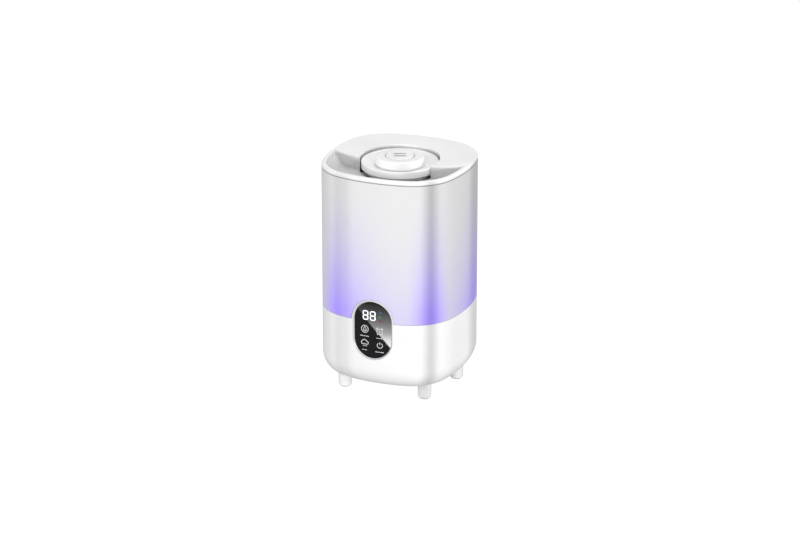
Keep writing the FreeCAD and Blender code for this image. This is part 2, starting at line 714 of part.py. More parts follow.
def make_panel():
    """The touch panel: curved glass in a bevelled bezel, with the display board and its parts behind."""
    front = prism("glass_front", "glass_depth", 50, 130)
    back = prism("glass_rear", "glass_back", 45, 135)
    blank = common("glass_blank", pill("glass_pill", "glass_radius", 60, 95), front)
    node("panel_glass", cut("panel_glass", blank, back))
    body_face = prism("bezel_face", 0, 50, 130)
    ring = common("bezel_blank", pill("bezel_pill", "bezel_radius", 60, 95), body_face)
    ring = cut("bezel_ring", ring, back, pill("bezel_opening", "glass_radius + 0.1", 50, 96))
    doc.recompute()
    bevel = doc.addObject("Part::Chamfer", "bezel_bevel")
    bevel.Base = ring
    inner, outer_face = number("glass_radius + 0.1"), number("body_half")
    picked = []
    for index, edge in enumerate(ring.Shape.Edges, start=1):
        middle = edge.valueAt((edge.FirstParameter + edge.LastParameter) / 2)
        high = min(max(middle.z, number("pill_low")), number("pill_high"))
        away = math.hypot(middle.x, middle.z - high)
        depth = number("side_radius") - math.hypot(middle.x, middle.y - number("side_radius - body_half"))
        if abs(away - inner) < 0.05 and abs(depth) < 0.05 and edge.Length > 5:
            picked.append((index, 1.2, 1.6))
    bevel.Edges = picked
    node("panel_bezel", bevel)
    board = pill("display_board_blank", "tongue_radius - 3", 74.9, 76.5)
    node("display_board", board)
    segments = box("segment_block", (-13.4, 5.2), (-80.2, -76.5), (101, 116.5))
    node("digit_display", rounded("digit_display", segments, 0.6, along_y))
    contacts = [
        lying(f"touch_contact_{i}", 3, -80.3, -76.5, x, z)
        for i, (x, z) in enumerate(((-9.8, 90.5), (9.8, 90.5), (-9.8, 73.5), (9.8, 73.5)))
    ]
    node("touch_contacts", group("touch_contacts", contacts))
    cover = pill("tongue_cover_blank", "tongue_radius - 2.4", "tongue_back + 0.2", "tongue_back + 2.2")
    node("tongue_cover", cover)


# ---- tank ----


def make_tank():
    """The frosted tank with a skirt over the tray and a niche in front for the tongue, and the mist's way
    through it: a spigot in the floor and a tube on top."""
    outer = prism("tank_outer", 0, "tank_foot", "tank_top")
    round_at(outer, "tank_top", "groove", "Chamfer")
    inner = prism("tank_inner", "tank_wall", "tank_floor", "tank_top + 1")
    round_at(inner, "tank_floor", 5)
    skirt = prism("tank_skirt", "tank_wall", "tank_foot - 1", "tank_under")
    shell = cut("tank_hull", outer, inner, skirt)
    within = prism("niche_within", 0.4, "tank_foot", f"{TONGUE_TOP} + 6")
    wall = pill("niche_wall", "tongue_radius + 3", "tongue_back - 3.2", 95)
    wall = common("niche_block", wall, within)
    y = "float_y"
    extras = [wall, cylinder("valve_boss", 15, "tank_under - 7", "tank_under + 1", 0, y)]
    for index, (sx, sy) in enumerate(((-1, -1), (-1, 1), (1, -1), (1, 1))):
        extras.append(cylinder(f"tank_pad_{index}", 3.5, "tray_top", "tank_under + 1", 66 * sx, 25 * sy))
    shell = fuse("tank_full", shell, *extras)
    niche = pill("niche", "tongue_radius + 0.5", "tongue_back - 0.8", 95)
    duct = cylinder("tank_duct", "duct_radius + 0.05", "tank_under - 2", "tank_floor + 2")
    hole = cylinder("valve_hole", 12.4, "tank_under - 9", "tank_floor + 2", 0, y)
    node("tank_shell", cut("tank_shell", shell, niche, duct, hole))
    tube = [
        ("tube_bore", "tank_floor"),
        ("tube_radius", "tank_floor"),
        ("tube_radius", "tube_top"),
        ("tube_bore", "tube_top"),
    ]
    node("mist_tube", turned("mist_tube", tube))
    spigot = [
        ("duct_bore", "tank_under - 12.5"),
        ("duct_radius", "tank_under - 12.5"),
        ("duct_radius", "tank_under - 1.6"),
        ("duct_radius + 3", "tank_under - 1.6"),
        ("duct_radius + 3", "tank_under"),
        ("duct_radius", "tank_under"),
        ("duct_radius", "tank_floor + 10"),
        ("duct_bore", "tank_floor + 10"),
    ]
    node("mist_spigot", turned("mist_spigot", spigot))


def make_valve():
    """The tank's outlet valve: a screwed-in body with a guide, a sprung plunger and its seals."""
    x, y = 0, "float_y"
    profile = [
        (6.5, 102.5),
        (14.6, 102.5),
        (14.6, 105.6),
        (12.2, 105.6),
        (12.2, 116),
        (7, 116),
        (7, 114),
        (9.5, 114),
        (9.5, 104.5),
        (6.5, 104.5),
    ]
    shell = turned("valve_shell", profile, x, y)
    hub = turned("valve_hub", [(3, 111.5), (5.2, 111.5), (5.2, 114), (3, 114)], x, y)
    spokes = []
    for index in range(3):
        spoke = doc.addObject("Part::Box", f"valve_spoke_{index}")
        spoke.Length, spoke.Width, spoke.Height = 5.2, 1.6, 2.5
        turn = FreeCAD.Rotation(Vector(0, 0, 1), 90 + 120 * index)
        start = turn.multVec(Vector(4.6, -0.8, 0))
        spoke.Placement = FreeCAD.Placement(Vector(start.x, start.y + number(y), 111.5), turn)
        spokes.append(spoke)
    node("valve_body", fuse("valve_body", shell, hub, *spokes))
    gasket = [(12.4, 105.6), (14.6, 105.6), (14.6, "tank_under - 7"), (12.4, "tank_under - 7")]
    node("valve_gasket", turned("valve_gasket", gasket, x, y))
    tip = "post_top + 0.1"
    plunger = [
        (0, tip),
        (2.0, tip),
        (2.6, f"{tip} + 0.6"),
        (2.6, 105.2),
        (4.6, 105.2),
        (4.6, 106.2),
        (2.6, 106.2),
        (2.6, 121),
        (5.5, 121),
        (5, 123),
        (0, 123),
    ]
    node("valve_plunger", turned("valve_plunger", plunger, x, y))
    node("valve_seal", turned("valve_seal", [(2.7, 119), (8.8, 119), (8.8, 121), (2.7, 121)], x, y))
    make_spring("valve_spring", 3.7, 0.35, 106.6, 111.1, 4, x, number(y))


def make_spring(name, radius, wire, low, high, turns, x, y):
    """A coil spring whose wire's middle runs from low to high."""
    helix = Part.makeHelix((high - low) / turns, high - low, radius)
    helix.translate(Vector(x, y, low))
    start = helix.Edges[0].valueAt(helix.Edges[0].FirstParameter)
    way = helix.Edges[0].tangentAt(helix.Edges[0].FirstParameter)
    ring = Part.Wire([Part.Circle(start, way, wire).toShape()])
    piece = doc.addObject("Part::Feature", name)
    piece.Shape = Part.Wire(helix.Edges).makePipeShell([ring], True, True)
    node(name, piece)


# ---- lid and nozzle ----


def make_lid():
    """The lid: a rim flush with the tank, a raised deck behind and a pouring bowl in front,
    with spokes across its mouth that carry the nozzle."""
    rim = prism("lid_rim", 0, "tank_top", "lid_top")
    round_at(rim, "lid_top", "lid_edge_round")
    round_at(rim, "tank_top", "groove", "Chamfer")
    plug = prism("lid_plug", "tank_wall + 0.5", "bowl_floor - lid_wall", "tank_top + 1")
    block = fuse("lid_block", rim, plug)
    deck = cylinder("deck_keep", "deck_radius", 240, 290, 0, "deck_centre")
    bowl = prism("bowl", "bowl_rim_inset", "bowl_floor", "lid_top + 0.2")
    round_at(bowl, "bowl_floor", "bowl_slope", "Chamfer")
    round_at(bowl, "bowl_floor", "bowl_round")
    round_at(bowl, "bowl_floor + bowl_slope", "bowl_lip_round")
    bowl = cut("bowl_cut", bowl, deck)
    mouth = cylinder("mouth", "mouth_radius", 240, 290)
    shell = cut("lid_shell", block, bowl, mouth)
    skin_low = "bowl_floor - lid_wall"
    skin = prism("bowl_skin", "bowl_rim_inset - lid_wall", skin_low, "lid_top + 0.2")
    round_at(skin, skin_low, "bowl_slope + lid_wall * 0.586", "Chamfer")
    round_at(skin, skin_low, "bowl_round + lid_wall")
    inner_deck = cylinder("deck_hollow", "deck_radius - lid_wall", 240, 290, 0, "deck_centre")
    skin = cut("bowl_skin_cut", skin, inner_deck)
    throat = cylinder("throat_keep", "mouth_radius + lid_wall", 240, 290)
    hollow = prism("lid_hollow", "tank_wall + 2.5", 245, "deck_under")
    hollow = cut("lid_hollow_cut", hollow, skin, throat)
    shell = cut("lid_hollowed", shell, hollow)
    extras = [
        turned(
            "throat_ring",
            [
                ("mouth_radius", "spider_low"),
                ("mouth_radius + lid_wall", "spider_low"),
                ("mouth_radius + lid_wall", "bowl_floor - 1"),
                ("mouth_radius", "bowl_floor - 1"),
            ],
        ),
        turned(
            "lid_collar",
            [
                ("collar_bore", 240),
                ("collar_radius", 240),
                ("collar_radius", "spider_top"),
                ("collar_bore", "spider_top"),
            ],
        ),
    ]
    reach = number("mouth_radius + 1") - number("collar_radius - 1")
    for index in range(3):
        spoke = doc.addObject("Part::Box", f"lid_spoke_{index}")
        spoke.Length, spoke.Width, spoke.Height = reach, 3, number("spider_top - spider_low")
        turn = FreeCAD.Rotation(Vector(0, 0, 1), 90 + 120 * index)
        start = turn.multVec(Vector(number("collar_radius - 1"), -1.5, number("spider_low")))
        spoke.Placement = FreeCAD.Placement(start, turn)
        extras.append(spoke)
    node("lid", fuse("lid", shell, *extras))


def make_nozzle():
    """The nozzle: a dished disc with a socket in the lid's collar, a knob that turns on it and its cap."""
    disc = [
        ("duct_bore", 240.5),
        (16.8, 240.5),
        (16.8, "spider_top"),
        (22, "spider_top"),
        (22, "spider_top + 1.8"),
        (16.8, "spider_top + 1.8"),
        (16.8, "disc_high - 6.4"),
        (30, "disc_high - 6.4"),
        (37.4, "disc_high - 4"),
        (37.4, "spider_top"),
        (39.4, "spider_top"),
        (39.4, "disc_high - 3.4"),
        ("disc_radius - 2", "disc_high - 2.4"),
        ("disc_radius - 2", "disc_low"),
        ("disc_radius - 0.5", "disc_low"),
        ("disc_radius", "disc_low + 0.5"),
        ("disc_radius", "disc_high - 0.9"),
        ("disc_radius - 0.3", "disc_high - 0.3"),
        ("disc_radius - 0.9", "disc_high"),
        ("disc_radius - 1.8", "disc_high"),
        (29.5, "disc_high - 4.4"),
        (20, "disc_high - 4.4"),
        (20, "disc_high + 2"),
        ("duct_bore", "disc_high + 2"),
    ]
    node("nozzle_disc", turned("nozzle_disc", disc))
    knob = [
        ("knob_radius - 2", "knob_low"),
        ("knob_radius", "knob_low"),
        ("knob_radius", "knob_high - 1.8"),
        ("knob_radius - 0.5", "knob_high - 0.6"),
        ("knob_radius - 1.8", "knob_high"),
        (17.8, "knob_high"),
        (17.2, "knob_high - 0.5"),
        (17.2, "knob_high - 2.6"),
        (13, "knob_high - 2.6"),
        (13, "knob_high - 3.9"),
        (20.3, "knob_high - 3.9"),
        (20.3, "knob_low"),
        (22.3, "knob_low"),
        (22.3, "knob_high - 3.9"),
        ("knob_radius - 2", "knob_high - 3.2"),
    ]
    node("nozzle_knob", turned("nozzle_knob", knob))
    cap = turned(
        "cap_blank",
        [
            (11, "cap_high - 7.2"),
            (12.7, "cap_high - 7.2"),
            (12.7, "cap_high - 3.6"),
            ("cap_radius", "cap_high - 3.6"),
            ("cap_radius", "cap_high - 0.8"),
            ("cap_radius - 0.3", "cap_high - 0.2"),
            ("cap_radius - 0.9", "cap_high"),
            (0, "cap_high"),
            (0, "cap_high - 2"),
            (11, "cap_high - 2"),
        ],
    )
    slots = []
    for index, across in enumerate((-3.9, 3.9)):
        wide = (across - 1.8, across + 1.8)
        slot = box(f"mist_slot_{index}", (-7.4, 7.4), wide, ("cap_high - 3", "cap_high + 2"))
        slots.append(rounded(f"mist_slot_round_{index}", slot, 1.7, upright))
    cap = cut("cap_slotted", cap, *slots)
    turned_cap = group("nozzle_cap", [cap])
    turned_cap.setExpression("Placement.Rotation.Angle", bound("slot_turn"))
    node("nozzle_cap", turned_cap)


def check_and_write():
    """Stops on any failed object, then writes each sub-part to parts/LABEL.step."""
    doc.recompute()
    failed = [o.Name for o in doc.Objects if "Invalid" in o.State or "Error" in o.State]
    if failed:
        raise SystemExit(f"failed objects: {failed}")
    os.makedirs("parts", exist_ok=True)
    for old in os.listdir("parts"):
        os.remove(os.path.join("parts", old))
    for piece in nodes:
        shape = piece.Shape
        if shape.isNull() or not shape.isValid() or not shape.Solids:
            raise SystemExit(f"{piece.Label} has no valid solid")
        shape.exportStep(f"parts/{piece.Label}.step")
        print(f"{piece.Label}: {len(shape.Solids)} solid(s), {shape.Volume:.0f} mm3")


make_housing()
make_cover()
make_feet()
make_tray()
make_transducer()
make_float()
make_light()
make_fan()
make_electrics()
make_panel()
make_tank()
make_valve()
make_lid()
make_nozzle()
check_and_write()
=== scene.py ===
"""The looks of a cool mist humidifier: the materials, the panel's lit signs, and the studio."""

import json
import math

import bmesh
import bpy
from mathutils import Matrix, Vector


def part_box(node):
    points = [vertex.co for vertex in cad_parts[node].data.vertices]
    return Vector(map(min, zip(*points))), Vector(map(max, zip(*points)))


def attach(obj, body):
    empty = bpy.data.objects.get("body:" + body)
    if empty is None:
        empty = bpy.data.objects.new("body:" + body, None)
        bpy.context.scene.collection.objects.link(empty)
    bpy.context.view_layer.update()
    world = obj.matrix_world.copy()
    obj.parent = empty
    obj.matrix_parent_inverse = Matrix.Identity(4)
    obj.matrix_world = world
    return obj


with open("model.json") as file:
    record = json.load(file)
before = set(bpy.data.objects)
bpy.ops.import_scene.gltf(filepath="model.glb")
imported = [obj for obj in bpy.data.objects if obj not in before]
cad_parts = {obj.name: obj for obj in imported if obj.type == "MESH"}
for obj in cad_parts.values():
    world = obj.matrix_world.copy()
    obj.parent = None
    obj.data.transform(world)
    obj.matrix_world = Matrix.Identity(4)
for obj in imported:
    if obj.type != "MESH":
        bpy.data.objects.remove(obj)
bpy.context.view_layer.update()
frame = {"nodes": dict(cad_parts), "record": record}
NODES = frame["nodes"]

TANK_WHITE = (0.79, 0.79, 0.795)
PAINTED_GLOW_VIOLET = (0.20, 0.02, 0.88)  # violet painted into the tank's colour where its glow is painted
GLOW = (0.12, 0.05, 1.0)  # emission colour of the glow painted on the tank
GLOW_TOP = 0.256  # heights where the painted glow from the base's lamps ends and is strongest, in metres
GLOW_LOW = 0.110
# painted shade: the dark grey the tank's inner faces get in place of its white
INSIDE_PAINTED_SHADE = (0.3, 0.3, 0.32)
# painted shade: the grey drawn on the chamfers at the line between tank and lid, as the groove's shadow
GROOVE_PAINTED_SHADE = (0.36, 0.36, 0.37)
GROOVE = 0.00068  # height of the chamfer on each side of the line between tank and lid
TANK_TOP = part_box("tank_shell")[1][2]


# ---- material helpers ----


def new_material(name):
    """A material with a Principled shader; returns it with its tree and shader."""
    mat = bpy.data.materials.new(name)
    mat.use_nodes = True
    tree = mat.node_tree
    return mat, tree, tree.nodes["Principled BSDF"]


def add(tree, kind, **inputs):
    """A node of a kind, with values set on its inputs by name."""
    item = tree.nodes.new(kind)
    for key, value in inputs.items():
        item.inputs[key.replace("_", " ")].default_value = value
    return item


def link(tree, source, target):
    tree.links.new(source, target)


def maths(tree, operation, first, second=None, clamp=False):
    """A math node; first and second are sockets or numbers."""
    item = tree.nodes.new("ShaderNodeMath")
    item.operation = operation
    item.use_clamp = clamp
    for index, value in enumerate((first, second)):
        if value is None:
            continue
        if isinstance(value, (int, float)):
            item.inputs[index].default_value = value
        else:
            link(tree, value, item.inputs[index])
    return item.outputs[0]


def ramp(tree, factor, stops, smooth="LINEAR"):
    """A colour ramp over stops of (place, colour)."""
    item = tree.nodes.new("ShaderNodeValToRGB")
    item.color_ramp.interpolation = smooth
    marks = item.color_ramp.elements
    while len(marks) < len(stops):
        marks.new(0.5)
    for mark, (place, colour) in zip(marks, stops):
        mark.position = place
        mark.color = colour if len(colour) == 4 else (*colour, 1)
    link(tree, factor, item.inputs[0])
    return item.outputs[0]


def blend_colour(tree, factor, first, second, mode="MIX"):
    item = tree.nodes.new("ShaderNodeMix")
    item.data_type = "RGBA"
    item.blend_type = mode
    item.clamp_result = False
    for socket, value in ((item.inputs[0], factor), (item.inputs[6], first), (item.inputs[7], second)):
        if isinstance(value, (int, float)):
            socket.default_value = value
        elif isinstance(value, tuple):
            socket.default_value = (*value[:3], 1)
        else:
            link(tree, value, socket)
    return item.outputs[2]


def place_of(tree):
    """The object's own coordinates: at rest these are the frame's, in metres."""
    return tree.nodes.new("ShaderNodeTexCoord").outputs["Object"]


def noise(tree, scale, detail=2.0, stretch=None):
    """Noise in the object's own coordinates; scale is in features per metre."""
    where = place_of(tree)
    if stretch:
        mapping = tree.nodes.new("ShaderNodeMapping")
        mapping.inputs["Scale"].default_value = stretch
        link(tree, where, mapping.inputs["Vector"])
        where = mapping.outputs[0]
    item = add(tree, "ShaderNodeTexNoise", Scale=scale, Detail=detail)
    link(tree, where, item.inputs["Vector"])
    return item.outputs["Fac"]


def add_bump(tree, shader, height, strength, distance):
    item = add(tree, "ShaderNodeBump", Strength=strength, Distance=distance)
    link(tree, height, item.inputs["Height"])
    link(tree, item.outputs[0], shader.inputs["Normal"])


def varied(tree, shader, colour, spread, scale):
    """Gives the shader a colour that drifts a little across the surface."""
    darker = tuple(c * (1 - spread) for c in colour)
    drift = ramp(tree, noise(tree, scale), [(0.3, darker), (0.7, colour)])
    link(tree, drift, shader.inputs["Base Color"])


def plastic(name, colour, rough, grain=0.0, coat=0.0, spread=0.02):
    """Moulded plastic: a faint drift of colour and gloss, and a fine grain where it is satin."""
    mat, tree, shader = new_material(name)
    varied(tree, shader, colour, spread, 35)
    low, high = rough * 0.85, rough * 1.15
    spots = ramp(tree, noise(tree, 220), [(0.3, (low,) * 3), (0.7, (high,) * 3)])
    link(tree, spots, shader.inputs["Roughness"])
    shader.inputs["IOR"].default_value = 1.5
    shader.inputs["Coat Weight"].default_value = coat
    shader.inputs["Coat Roughness"].default_value = 0.08
    if grain:
        add_bump(tree, shader, noise(tree, 2600, 3), grain, 0.00006)
    return mat


def metal(name, colour, rough, brushed=(1, 1, 1)):
    mat, tree, shader = new_material(name)
    varied(tree, shader, colour, 0.12, 120)
    shader.inputs["Metallic"].default_value = 1
    streaks = noise(tree, 900, 3, brushed)
    gloss = ramp(tree, streaks, [(0.2, (rough * 0.7,) * 3), (0.8, (rough * 1.3,) * 3)])
    link(tree, gloss, shader.inputs["Roughness"])
    add_bump(tree, shader, streaks, 0.15, 0.00005)
    return mat


def rubber(name, colour):
    mat, tree, shader = new_material(name)
    varied(tree, shader, colour, 0.15, 300)
    shader.inputs["Roughness"].default_value = 0.75
    add_bump(tree, shader, noise(tree, 3500, 4), 0.4, 0.0001)
    return mat


def board(name, colour):
    """A circuit board: solder mask with a lighter web of tracks."""
    mat, tree, shader = new_material(name)
    cells = add(tree, "ShaderNodeTexVoronoi", Scale=420.0)
    cells.feature = "DISTANCE_TO_EDGE"
    link(tree, place_of(tree), cells.inputs["Vector"])
    tracks = tuple(min(1, c * 2.2 + 0.02) for c in colour)
    web = ramp(tree, cells.outputs[0], [(0.03, tracks), (0.07, colour)])
    link(tree, web, shader.inputs["Base Color"])
    shader.inputs["Roughness"].default_value = 0.35
    return mat


def lit(name, colour, strength):
    """A lit sign behind the panel's glass, a little uneven as a diffused lamp is."""
    mat, tree, shader = new_material(name)
    dim = tuple(c * 0.88 for c in colour)
    shade = ramp(tree, noise(tree, 400), [(0.3, dim), (0.7, colour)])
    link(tree, shade, shader.inputs["Base Color"])
    link(tree, shade, shader.inputs["Emission Color"])
    shader.inputs["Emission Strength"].default_value = strength
    shader.inputs["Roughness"].default_value = 0.5
    return mat


def frosted_tank():
    """Frosted white plastic with the violet light of the lamps in the base painted on as colour and
    emission, a painted glow:
    strongest just over the seam and above each lamp, gone near the top, and seen on the outside only.
    Its inner faces and its chamfer at the line to the lid carry painted shade."""
    mat, tree, shader = new_material("frosted_tank")
    coords = tree.nodes.new("ShaderNodeTexCoord")
    place = add(tree, "ShaderNodeSeparateXYZ")
    link(tree, coords.outputs["Object"], place.inputs[0])
    facing = add(tree, "ShaderNodeSeparateXYZ")
    link(tree, coords.outputs["Normal"], facing.inputs[0])

    # 0 to 1 going round the tank from the back, with the front at 0.5
    around = maths(tree, "ARCTAN2", facing.outputs[0], maths(tree, "MULTIPLY", facing.outputs[1], -1.0))
    around = maths(tree, "ADD", maths(tree, "MULTIPLY", around, 1 / (2 * math.pi)), 0.5)
    glow_round = ramp(tree, around, lamp_stops(), "EASE")
    height = maths(tree, "SUBTRACT", GLOW_TOP, place.outputs[2])
    height = maths(tree, "DIVIDE", height, GLOW_TOP - GLOW_LOW, clamp=True)
    tall = maths(tree, "POWER", height, 1.25)
    short = maths(tree, "POWER", height, 2.4)
    over_lamps = maths(tree, "MULTIPLY", tall, glow_round)
    between = maths(tree, "MULTIPLY", short, 0.17)
    amount = maths(tree, "ADD", maths(tree, "MULTIPLY", over_lamps, 0.4), between, clamp=True)
    mottle = maths(tree, "ADD", maths(tree, "MULTIPLY", noise(tree, 18, 3, (1, 1, 0.25)), 0.16), 0.92)
    amount = maths(tree, "MULTIPLY", amount, mottle, clamp=True)
    along_x = maths(tree, "MULTIPLY", facing.outputs[0], place.outputs[0])
    along_y = maths(tree, "MULTIPLY", facing.outputs[1], place.outputs[1])
    outward = maths(tree, "MULTIPLY", maths(tree, "ADD", along_x, along_y), 40.0, clamp=True)
    amount = maths(tree, "MULTIPLY", amount, outward)

    # painted shade: faces that look inwards are drawn dark grey, outer faces keep the white
    plain = blend_colour(tree, outward, INSIDE_PAINTED_SHADE, TANK_WHITE)
    # painted shade: the tank's chamfer at the line to the lid is drawn grey as the groove's shadow
    groove_shade_mask = maths(tree, "GREATER_THAN", place.outputs[2], TANK_TOP - GROOVE)
    plain = blend_colour(tree, groove_shade_mask, plain, GROOVE_PAINTED_SHADE)
    # painted light: the base lamps' violet glow is painted into the colour here and given off as
    # emission below
    link(tree, blend_colour(tree, amount, plain, PAINTED_GLOW_VIOLET), shader.inputs["Base Color"])
    glow = blend_colour(tree, amount, (0.0, 0.0, 0.0), GLOW)
    link(tree, glow, shader.inputs["Emission Color"])
    shader.inputs["Emission Strength"].default_value = 0.5
    rough = ramp(tree, noise(tree, 60), [(0.3, (0.3,) * 3), (0.7, (0.38,) * 3)])
    link(tree, rough, shader.inputs["Roughness"])
    shader.inputs["Subsurface Weight"].default_value = 0.15
    shader.inputs["Subsurface Radius"].default_value = (0.006, 0.005, 0.007)
    shader.inputs["Coat Weight"].default_value = 0.25
    shader.inputs["Coat Roughness"].default_value = 0.15
    add_bump(tree, shader, noise(tree, 1500, 3), 0.08, 0.00005)
    return mat


LAMPS = (-142, -82, -22, 45, 104, 160)  # degrees round the tank from the front, towards +X


def lamp_stops():
    """Stops round the tank for its painted glow: bright over each lamp and dark half way to the next.
    """
    stops = []
    around = [*LAMPS, LAMPS[0] + 360]
    for lamp, following in zip(around, around[1:]):
        stops.append((lamp, 1.0))
        stops.append(((lamp + following) / 2, 0.0))
    placed = sorted((((angle + 180) % 360) / 360, value) for angle, value in stops)
    first, last = placed[0], placed[-1]
    share = (1 - last[0]) / (1 - last[0] + first[0])
    seam = last[1] + (first[1] - last[1]) * share
    placed = [(0.0, seam), *placed, (1.0, seam)]
    return [(place, (value,) * 3) for place, value in placed]


OUTLINE_REACH = 0.045  # position dot normal on the lid's outer wall is over this, in metres
SLOT_CIRCLE = 0.0108  # radius of the circle round the cap's slots, in metres


def position_parts(tree):
    """The sockets x, y, z of the object's own coordinates."""
    item = add(tree, "ShaderNodeSeparateXYZ")
    link(tree, place_of(tree), item.inputs[0])
    return item.outputs


def shade_lower(material, top, depth, shade, keep):
    """Paints shade into a pale plastic: greys it from the height top down over depth; keep(tree) gives
    the share that is left as it is."""
    tree = material.node_tree
    shader = tree.nodes["Principled BSDF"]
    base = shader.inputs["Base Color"].links[0].from_socket
    z = position_parts(tree)[2]
    below = maths(tree, "DIVIDE", maths(tree, "SUBTRACT", top, z), depth, clamp=True)
    share = maths(tree, "MULTIPLY", below, maths(tree, "SUBTRACT", 1.0, keep(tree)))
    link(tree, blend_colour(tree, share, base, (shade,) * 3), shader.inputs["Base Color"])
    return material


def outer_wall(tree):
    """1 on faces that look outwards near the lid's outline, above the groove, 0 elsewhere: the lid's
    painted shade is kept off where this is 1.
    """
    coords = tree.nodes.new("ShaderNodeTexCoord")
    product = tree.nodes.new("ShaderNodeVectorMath")
    product.operation = "MULTIPLY"
    link(tree, coords.outputs["Object"], product.inputs[0])
    link(tree, coords.outputs["Normal"], product.inputs[1])
    item = add(tree, "ShaderNodeSeparateXYZ")
    link(tree, product.outputs[0], item.inputs[0])
    reach = maths(tree, "ADD", item.outputs[0], item.outputs[1])
    facing_out = maths(tree, "SUBTRACT", reach, OUTLINE_REACH)
    facing_out = maths(tree, "MULTIPLY", facing_out, 50.0, clamp=True)
    over_groove = maths(tree, "GREATER_THAN", position_parts(tree)[2], TANK_TOP + GROOVE)
    return maths(tree, "MULTIPLY", facing_out, over_groove)


def beyond_slots(tree):
    """1 outside the circle that holds the cap's slots, 0 inside, where the cap gets painted shade."""
    x, y, _ = position_parts(tree)
    square = maths(tree, "ADD", maths(tree, "MULTIPLY", x, x), maths(tree, "MULTIPLY", y, y))
    return maths(tree, "GREATER_THAN", square, SLOT_CIRCLE**2)


def glossy_black():
    mat, tree, shader = new_material("black_glass")
    varied(tree, shader, (0.006, 0.006, 0.007), 0.3, 60)
    shader.inputs["Roughness"].default_value = 0.04
    shader.inputs["Specular IOR Level"].default_value = 0.27
    return mat


SATIN = {"colour": (0.84, 0.84, 0.845), "rough": 0.36, "grain": 0.12, "coat": 0.1}
MATERIALS = {
    "white_gloss": plastic("gloss_white", (0.88, 0.88, 0.885), 0.22, coat=0.4),
    "frosted": frosted_tank(),
    "white_satin": plastic("satin_white", **SATIN),
    "inner_white": plastic("moulded_white", (0.76, 0.76, 0.77), 0.45, grain=0.2),
    "black_plastic": plastic("moulded_black", (0.018, 0.018, 0.02), 0.4, grain=0.3, spread=0.3),
    "panel_black": glossy_black(),
    "bezel_grey": plastic("bezel_grey", (0.62, 0.62, 0.64), 0.2, coat=0.5),
    "rubber_grey": rubber("soft_grey", (0.42, 0.42, 0.43)),
    "screw_steel": metal("plated_screw", (0.56, 0.56, 0.58), 0.28),
    "spring_steel": metal("spring_wire", (0.62, 0.62, 0.64), 0.22),
    "clamp_metal": metal("pressed_steel", (0.6, 0.6, 0.62), 0.3, (1, 12, 1)),
    "ceramic_disc": plastic("silvered_ceramic", (0.62, 0.58, 0.5), 0.5, grain=0.3, spread=0.1),
    "board_green": board("green_board", (0.01, 0.07, 0.025)),
    "sink_aluminium": metal("finned_aluminium", (0.75, 0.75, 0.77), 0.35, (1, 1, 14)),
    "brass_pin": metal("bright_brass", (0.72, 0.5, 0.22), 0.2),
    "magnet_grey": plastic("ferrite", (0.045, 0.045, 0.05), 0.55, grain=0.5, spread=0.2),
    "diffuser": lit("milky_diffuser", (0.42, 0.32, 1.0), 0.4),
    "led_yellow": lit("lamp_chips", (0.55, 0.45, 1.0), 1.5),
}

LID_TOP, CAP_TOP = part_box("lid")[1][2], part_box("nozzle_cap")[1][2]
# painted shade: the mist tube is drawn mid grey, darker than the white inner parts, so the gap under
# the disc stays dark
TUBE_PAINTED_SHADE = plastic("tube_painted_shade", (0.5, 0.5, 0.51), 0.4)
# painted shade: the lid's bowl, the wall under its deck and its chamfer at the groove are drawn grey
# below the deck's top
LID = shade_lower(plastic("lid_white", **SATIN), LID_TOP - 0.0004, 0.003, 0.54, outer_wall)
# painted shade: inside the slot circle, the cap's slot walls below its top are drawn near black
CAP = shade_lower(plastic("cap_white", **SATIN), CAP_TOP - 0.0004, 0.0006, 0.12, beyond_slots)
OWN_LOOKS = {"mist_tube": TUBE_PAINTED_SHADE, "lid": LID, "nozzle_cap": CAP}

slots = {entry["node"]: entry["material_slot"] for entry in frame["record"]["subparts"]}
for node_name, obj in NODES.items():
    material = OWN_LOOKS.get(node_name) or MATERIALS[slots[node_name]]
    obj.data.materials.clear()
    obj.data.materials.append(material)


# ---- the panel's signs: thin shapes on the glass's curved face ----

glass_low, glass_high = (Vector(corner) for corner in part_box("panel_glass"))
middle_z = (glass_low.z + glass_high.z) / 2
SIDE_RADIUS = 0.172  # the body's side arcs, centred behind the middle by radius less half width
body_low, body_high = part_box("base_housing")
ARC_CENTRE = SIDE_RADIUS - (body_high[1] - body_low[1]) / 2
GLASS_INSET = 0.0017  # the glass lies this far inside the body's outline
LIFT = 0.00006  # of a sign's back over the glass
THICK = 0.00022  # of a sign
MM = 0.001


def on_glass(x, up):
    """The point of the glass's outer face at x, and at up above the panel's middle."""
    radius = SIDE_RADIUS - GLASS_INSET + LIFT
    return Vector((x, ARC_CENTRE - math.sqrt(radius**2 - x * x), middle_z + up))


def sign(name, shapes, material):
    """One piece of flat shapes, each a closed ring of (x, up) points in metres, bent to the glass."""
    mesh = bmesh.new()
    for ring in shapes:
        corners = [mesh.verts.new(on_glass(x, up)) for x, up in ring]
        mesh.faces.new(corners)
    result = bmesh.ops.extrude_face_region(mesh, geom=mesh.faces[:])
    for item in result["geom"]:
        if isinstance(item, bmesh.types.BMVert):
            item.co.y -= THICK
    bmesh.ops.recalc_face_normals(mesh, faces=mesh.faces[:])
    data = bpy.data.meshes.new(name)
    mesh.to_mesh(data)
    mesh.free()
    piece = bpy.data.objects.new(name, data)
    bpy.context.collection.objects.link(piece)
    data.materials.append(material)
    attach(piece, "base")
    return piece


